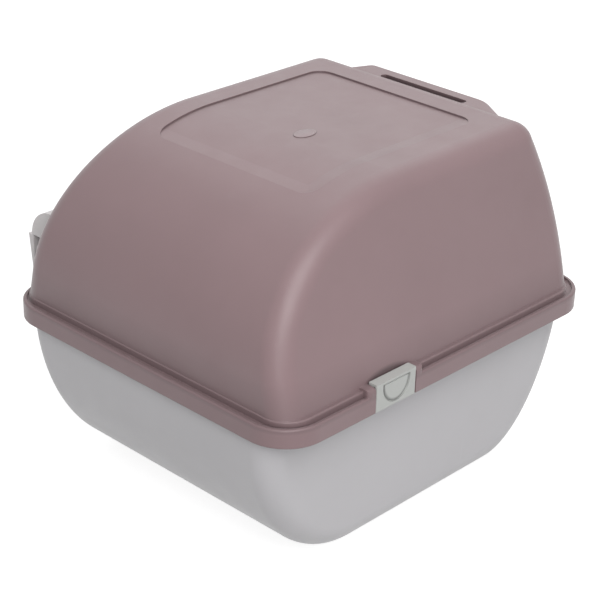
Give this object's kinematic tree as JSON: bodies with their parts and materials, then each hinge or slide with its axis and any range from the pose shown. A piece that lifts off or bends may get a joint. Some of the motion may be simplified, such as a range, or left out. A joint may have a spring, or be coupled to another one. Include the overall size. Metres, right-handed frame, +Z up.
{
  "type": "self-cleaning litter box",
  "caption": "Covered litter box that is rolled on its curved side to sift the litter, with snap clips, an inner sieve and a pull-out waste tray.",
  "frame": {"origin": "on the floor, under the middle of the cover's flange", "axes": "+Z up, +X towards the curved side that the box is rolled on, -Y the face with the entry and the tray"},
  "size_m": [0.584, 0.5305, 0.47],
  "materials": {
    "cover_plastic": "satin",
    "tub_plastic": "satin",
    "clip_plastic": "satin",
    "tray_plastic": "satin",
    "inner_plastic": "matte",
    "screw_steel": "plain"
  },
  "bodies": {
    "base": {"base_tub": "tub_plastic"},
    "cover": {"upper_cover": "cover_plastic", "sieve_grille": "inner_plastic", "tray_housing": "inner_plastic", "sieve_screws": "screw_steel", "housing_screws": "screw_steel"},
    "tray": {"waste_tray": "tray_plastic", "tray_handle": "tray_plastic"},
    "clip_back": {"snap_clip_back": "clip_plastic"},
    "clip_front": {"snap_clip_front": "clip_plastic"}
  },
  "joints": [
    {"name": "cover_lift", "type": "slide", "parent": "base", "child": "cover", "axis": [0, 0, 1], "range_m": [0, 0.03]},
    {"name": "tray_slide", "type": "slide", "parent": "cover", "child": "tray", "axis": [0, -1, 0], "range_m": [0, 0.38]},
    {"name": "clip_back_hinge", "type": "hinge", "parent": "base", "child": "clip_back", "pos_m": [0.104, 0.243, 0.221], "axis": [-1, 0, 0], "range_deg": [0, 95.5]},
    {"name": "clip_front_hinge", "type": "hinge", "parent": "base", "child": "clip_front", "pos_m": [0.104, -0.243, 0.221], "axis": [1, 0, 0], "range_deg": [0, 95.5]}
  ],
  "couplings": [
    {"joint": "clip_back_hinge", "follows": "cover_lift", "rad_per_m": 55.27},
    {"joint": "clip_front_hinge", "follows": "cover_lift", "rad_per_m": 55.27}
  ]
}
